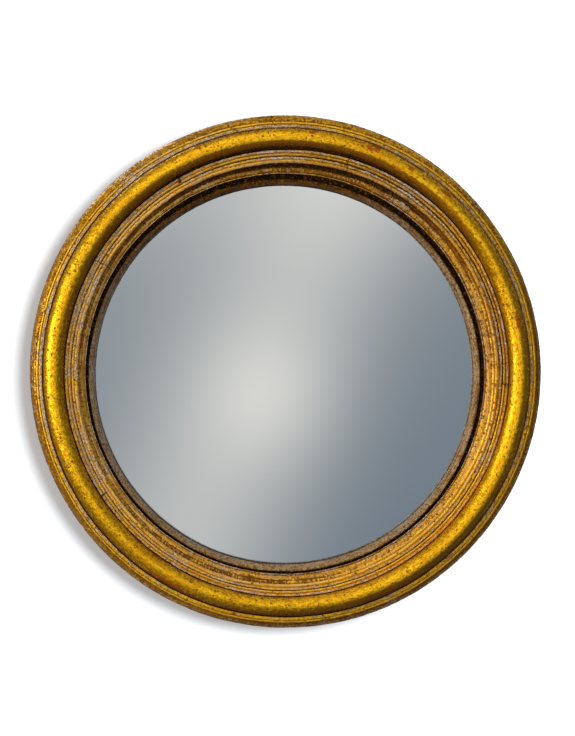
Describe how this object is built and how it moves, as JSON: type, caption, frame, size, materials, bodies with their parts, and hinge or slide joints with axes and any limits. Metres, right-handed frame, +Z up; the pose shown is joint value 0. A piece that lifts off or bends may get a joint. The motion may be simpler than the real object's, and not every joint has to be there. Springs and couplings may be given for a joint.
{
  "type": "convex butlers mirror",
  "caption": "Round convex wall mirror in a moulded gilt wood frame with an inner slip, a backing board held by turn buttons, and a hanging ring.",
  "frame": {"origin": "where the mirror's axis meets the wall, in the plane of the four pads' faces", "axes": "+Z up as hung, -Y the way the mirror faces, +Y into the wall, +X to the right as it is looked at"},
  "size_m": [0.4, 0.042, 0.4],
  "materials": {
    "gilt_frame": "worn gold leaf over red bole and white gesso, brown patina",
    "gilt_slip": "dark worn gilding, mottled brown",
    "silvered_glass": "convex glass, silvered on its back",
    "felt": "felt tape",
    "cork": "cork",
    "foam": "foam strip",
    "hardboard": "hardboard, smooth side out",
    "plated_steel": "zinc plated",
    "screw_steel": "zinc plated",
    "pad_rubber": "matt rubber"
  },
  "bodies": {
    "mirror": {"frame_moulding": "gilt_frame", "sight_slip": "gilt_slip", "mirror_glass": "silvered_glass", "glazing_tape": "felt", "edge_packers": "cork", "cushion_ring": "foam", "back_board": "hardboard", "button_screws": "screw_steel", "hanger_plate": "plated_steel", "hanger_screws": "screw_steel", "wall_pad_1": "pad_rubber", "wall_pad_2": "pad_rubber", "wall_pad_3": "pad_rubber", "wall_pad_4": "pad_rubber"},
    "turn_button_1": {"turn_button_1": "plated_steel"},
    "turn_button_2": {"turn_button_2": "plated_steel"},
    "turn_button_3": {"turn_button_3": "plated_steel"},
    "turn_button_4": {"turn_button_4": "plated_steel"},
    "turn_button_5": {"turn_button_5": "plated_steel"},
    "turn_button_6": {"turn_button_6": "plated_steel"},
    "hanger_ring": {"hanger_ring": "plated_steel"}
  },
  "joints": [
    {"name": "turn_button_1_turn", "type": "hinge", "parent": "mirror", "child": "turn_button_1", "pos_m": [0.1674, -0.006, 0], "axis": [0, 1, 0], "continuous": true},
    {"name": "turn_button_2_turn", "type": "hinge", "parent": "mirror", "child": "turn_button_2", "pos_m": [0.0837, -0.006, 0.14497], "axis": [0, 1, 0], "continuous": true},
    {"name": "turn_button_3_turn", "type": "hinge", "parent": "mirror", "child": "turn_button_3", "pos_m": [-0.0837, -0.006, 0.14497], "axis": [0, 1, 0], "continuous": true},
    {"name": "turn_button_4_turn", "type": "hinge", "parent": "mirror", "child": "turn_button_4", "pos_m": [-0.1674, -0.006, 0], "axis": [0, 1, 0], "continuous": true},
    {"name": "turn_button_5_turn", "type": "hinge", "parent": "mirror", "child": "turn_button_5", "pos_m": [-0.0837, -0.006, -0.14497], "axis": [0, 1, 0], "continuous": true},
    {"name": "turn_button_6_turn", "type": "hinge", "parent": "mirror", "child": "turn_button_6", "pos_m": [0.0837, -0.006, -0.14497], "axis": [0, 1, 0], "continuous": true},
    {"name": "hanger_ring_swing", "type": "hinge", "parent": "mirror", "child": "hanger_ring", "pos_m": [0, -0.0034, 0.1804], "axis": [1, 0, 0], "range_deg": [0, 180]}
  ]
}
